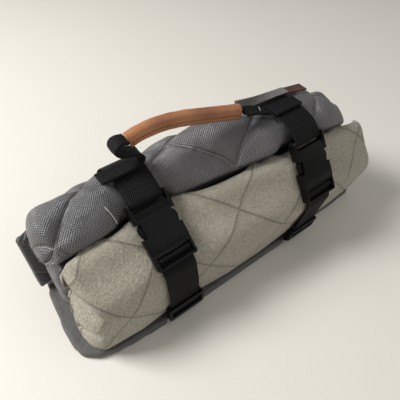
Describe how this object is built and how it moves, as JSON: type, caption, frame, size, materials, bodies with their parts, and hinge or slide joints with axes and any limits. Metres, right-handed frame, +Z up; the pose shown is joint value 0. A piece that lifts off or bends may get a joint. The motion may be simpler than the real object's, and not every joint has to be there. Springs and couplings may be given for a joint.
{
  "type": "quilted mat in strap carrier",
  "caption": "Folded quilted mat with a plush face, held as a bundle by webbing straps with side-release buckles and a leather-covered carry handle.",
  "frame": {"origin": "on the floor under the middle of the bundle", "axes": "+X along the bundle to the right seen from the buckles, +Y to the back, +Z up"},
  "size_m": [0.432, 0.1633, 0.2089],
  "materials": {
    "plush": "matte",
    "woven_shell": "satin",
    "wadding": "matte",
    "binding_tape": "matte",
    "webbing": "matte",
    "tab_lining": "matte",
    "buckle_plastic": "satin",
    "leather": "satin"
  },
  "bodies": {
    "bundle": {"top_roll": "woven_shell", "front_fold": "plush", "inner_fold": "wadding", "back_panel": "woven_shell", "base_panel": "woven_shell", "binding_front": "binding_tape", "binding_left": "binding_tape", "binding_right": "binding_tape", "handle_anchor_left": "webbing", "handle_anchor_right": "webbing", "tab_leather": "leather", "tab_lining": "tab_lining", "strap_left_upper": "webbing", "strap_left_lower": "webbing", "socket_left": "buckle_plastic", "strap_right_upper": "webbing", "strap_right_lower": "webbing", "socket_right": "buckle_plastic"},
    "plug_left": {"plug_left": "buckle_plastic"},
    "prong_left_outer": {"prong_left_outer": "buckle_plastic"},
    "prong_left_inner": {"prong_left_inner": "buckle_plastic"},
    "keeper_left": {"keeper_left": "buckle_plastic"},
    "plug_right": {"plug_right": "buckle_plastic"},
    "prong_right_outer": {"prong_right_outer": "buckle_plastic"},
    "prong_right_inner": {"prong_right_inner": "buckle_plastic"},
    "keeper_right": {"keeper_right": "buckle_plastic"},
    "handle": {"grip_leather": "leather", "grip_core": "webbing", "handle_webbing_left": "webbing", "handle_webbing_right": "webbing"}
  },
  "joints": [
    {"name": "plug_left_slide", "type": "slide", "parent": "bundle", "child": "plug_left", "axis": [0, -0.7716, -0.6361], "range_m": [0, 0.034], "deforming": ["strap_left_lower", "prong_left_outer", "prong_left_inner"]},
    {"name": "prong_left_outer_flex", "type": "hinge", "parent": "plug_left", "child": "prong_left_outer", "pos_m": [-0.1102, -0.04455, 0.10891], "axis": [0, 0.6361, -0.7716], "range_deg": [0, 10], "stiffness_Nm_per_rad": 0.2},
    {"name": "prong_left_inner_flex", "type": "hinge", "parent": "plug_left", "child": "prong_left_inner", "pos_m": [-0.0858, -0.04455, 0.10891], "axis": [0, -0.6361, 0.7716], "range_deg": [0, 10], "stiffness_Nm_per_rad": 0.2},
    {"name": "keeper_left_slide", "type": "slide", "parent": "bundle", "child": "keeper_left", "axis": [0, 0, 1], "range_m": [0, 0.012]},
    {"name": "plug_right_slide", "type": "slide", "parent": "bundle", "child": "plug_right", "axis": [0, -0.5299, -0.848], "range_m": [0, 0.034], "deforming": ["strap_right_lower", "prong_right_outer", "prong_right_inner"]},
    {"name": "prong_right_outer_flex", "type": "hinge", "parent": "plug_right", "child": "prong_right_outer", "pos_m": [0.0972, -0.07387, 0.11194], "axis": [0, -0.848, 0.5299], "range_deg": [0, 10], "stiffness_Nm_per_rad": 0.2},
    {"name": "prong_right_inner_flex", "type": "hinge", "parent": "plug_right", "child": "prong_right_inner", "pos_m": [0.0728, -0.07387, 0.11194], "axis": [0, 0.848, -0.5299], "range_deg": [0, 10], "stiffness_Nm_per_rad": 0.2},
    {"name": "keeper_right_slide", "type": "slide", "parent": "bundle", "child": "keeper_right", "axis": [0, -0.2079, 0.9781], "range_m": [0, 0.012]},
    {"name": "handle_swing", "type": "hinge", "parent": "bundle", "child": "handle", "pos_m": [-0.084, 0.024, 0.167], "axis": [0.981, -0.1819, 0.0674], "range_deg": [-30, 60], "deforming": ["handle_webbing_left", "handle_webbing_right"]}
  ]
}
